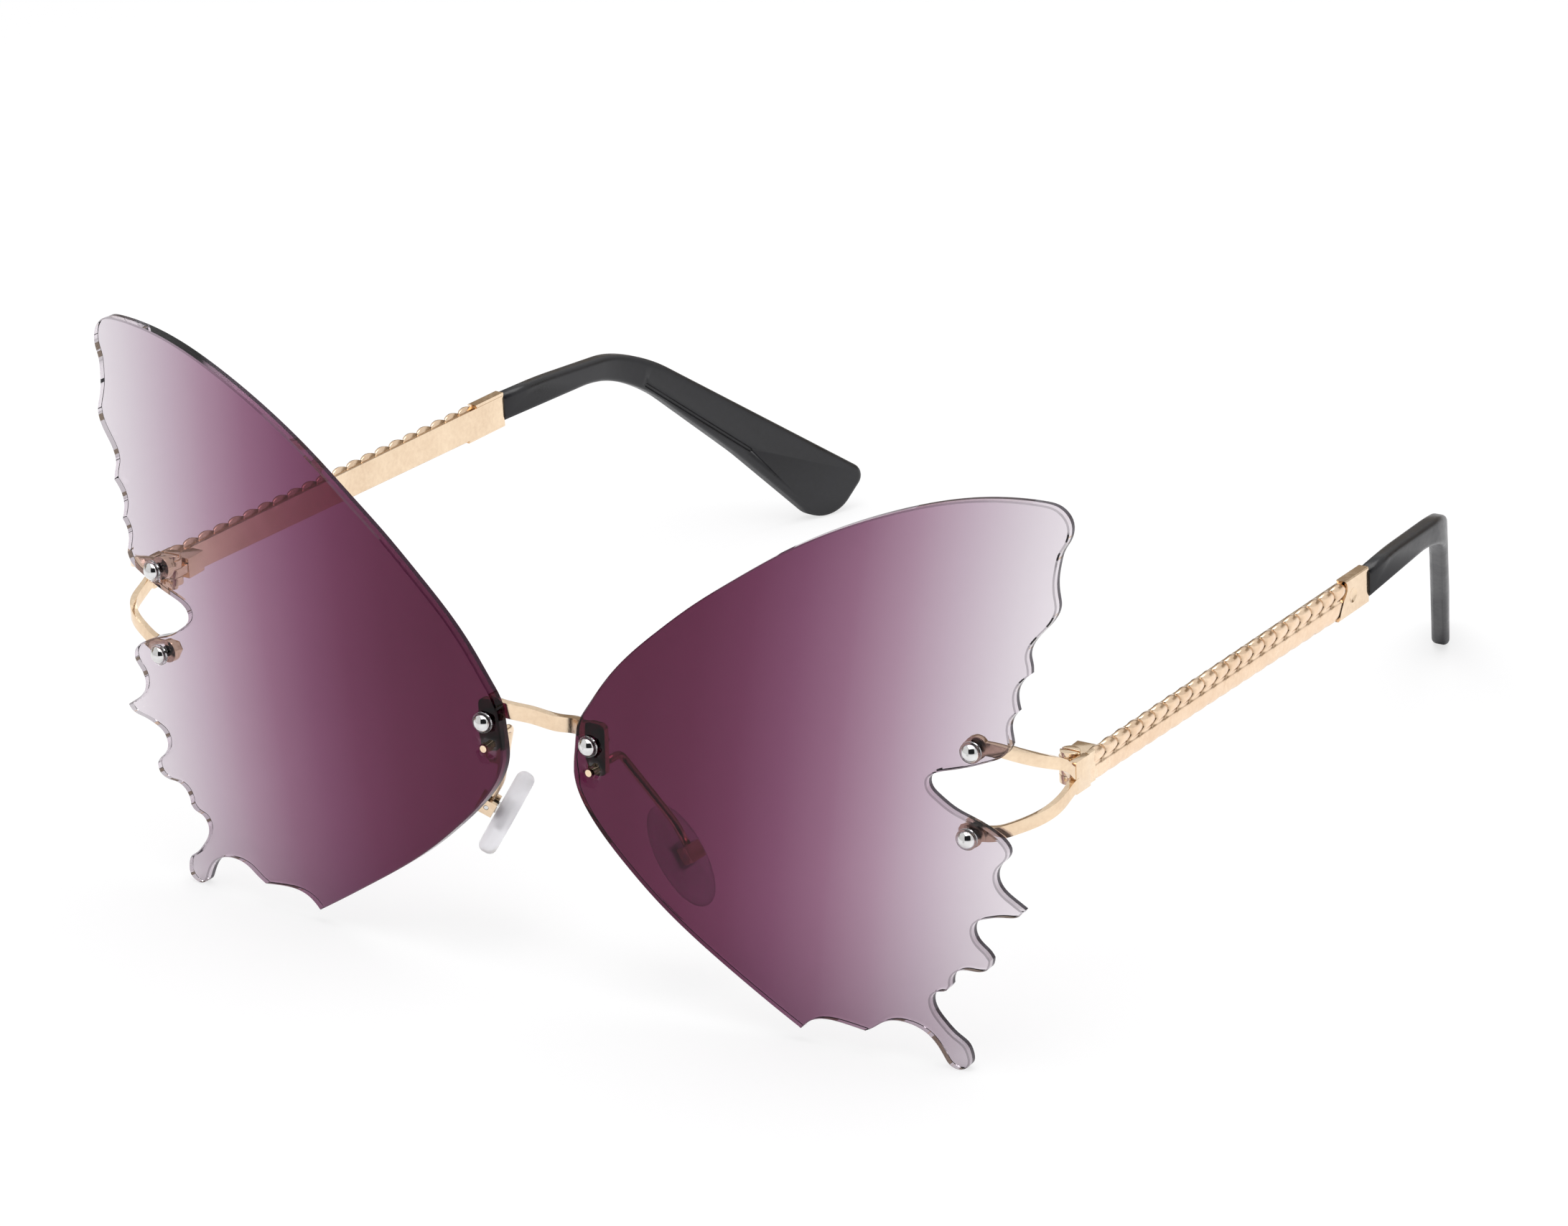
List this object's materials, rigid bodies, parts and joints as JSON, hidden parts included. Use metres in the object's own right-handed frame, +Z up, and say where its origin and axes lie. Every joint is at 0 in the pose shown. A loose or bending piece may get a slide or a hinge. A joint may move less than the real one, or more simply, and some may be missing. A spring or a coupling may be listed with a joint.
{
  "type": "rimless sunglasses",
  "caption": "Rimless sunglasses with butterfly-wing lenses, metal bridge and forked endpieces, folding rope-pattern temples with bent tips, and rocking nose pads.",
  "frame": {"origin": "centre of the open glasses' bounding box, on the surface they stand on", "axes": "+Y backwards along the temples, towards the wearer; +Z up; +X towards the wearer's left; the lenses face -Y"},
  "size_m": [0.1542, 0.1615, 0.0802],
  "materials": {
    "lens_tint": "polished, plum at the nose fading to clear at the outer edge",
    "gold": "polished pale gold plate",
    "gold_relief": "cast relief, satin pale gold plate",
    "chrome": "polished",
    "clear_plastic": "clear",
    "clear_silicone": "clear, slightly milky",
    "black_tip": "satin black"
  },
  "bodies": {
    "front": {"bridge": "gold", "left_lens": "lens_tint", "left_bridge_screw": "chrome", "left_bridge_washer": "clear_plastic", "left_bridge_nut": "gold", "left_upper_screw": "chrome", "left_upper_washer": "clear_plastic", "left_upper_nut": "gold", "left_lower_screw": "chrome", "left_lower_washer": "clear_plastic", "left_lower_nut": "gold", "left_pad_arm": "gold", "left_pad_box": "gold", "left_pad_screw": "gold", "left_endpiece": "gold", "left_front_hinge_leaf": "gold", "left_hinge_screw": "gold", "right_lens": "lens_tint", "right_bridge_screw": "chrome", "right_bridge_washer": "clear_plastic", "right_bridge_nut": "gold", "right_upper_screw": "chrome", "right_upper_washer": "clear_plastic", "right_upper_nut": "gold", "right_lower_screw": "chrome", "right_lower_washer": "clear_plastic", "right_lower_nut": "gold", "right_pad_arm": "gold", "right_pad_box": "gold", "right_pad_screw": "gold", "right_endpiece": "gold", "right_front_hinge_leaf": "gold", "right_hinge_screw": "gold"},
    "left_temple": {"left_temple_hinge_leaf": "gold", "left_temple": "gold_relief", "left_temple_tip": "black_tip"},
    "left_nose_pad": {"left_nose_pad": "clear_silicone", "left_pad_tongue": "clear_plastic"},
    "right_temple": {"right_temple_hinge_leaf": "gold", "right_temple": "gold_relief", "right_temple_tip": "black_tip"},
    "right_nose_pad": {"right_nose_pad": "clear_silicone", "right_pad_tongue": "clear_plastic"}
  },
  "joints": [
    {"name": "left_temple_fold", "type": "hinge", "parent": "front", "child": "left_temple", "pos_m": [0.07197, -0.0627, 0.04025], "axis": [0, 0, 1], "range_deg": [0, 86]},
    {"name": "right_temple_fold", "type": "hinge", "parent": "front", "child": "right_temple", "pos_m": [-0.07197, -0.0627, 0.04025], "axis": [0, 0, -1], "range_deg": [0, 78]},
    {"name": "left_pad_rock", "type": "hinge", "parent": "front", "child": "left_nose_pad", "pos_m": [0.01657, -0.0688, 0.01887], "axis": [-0.2728, -0.9478, -0.1652], "range_deg": [-8, 8]},
    {"name": "right_pad_rock", "type": "hinge", "parent": "front", "child": "right_nose_pad", "pos_m": [-0.01657, -0.0688, 0.01887], "axis": [-0.2728, 0.9478, 0.1652], "range_deg": [-8, 8]}
  ]
}
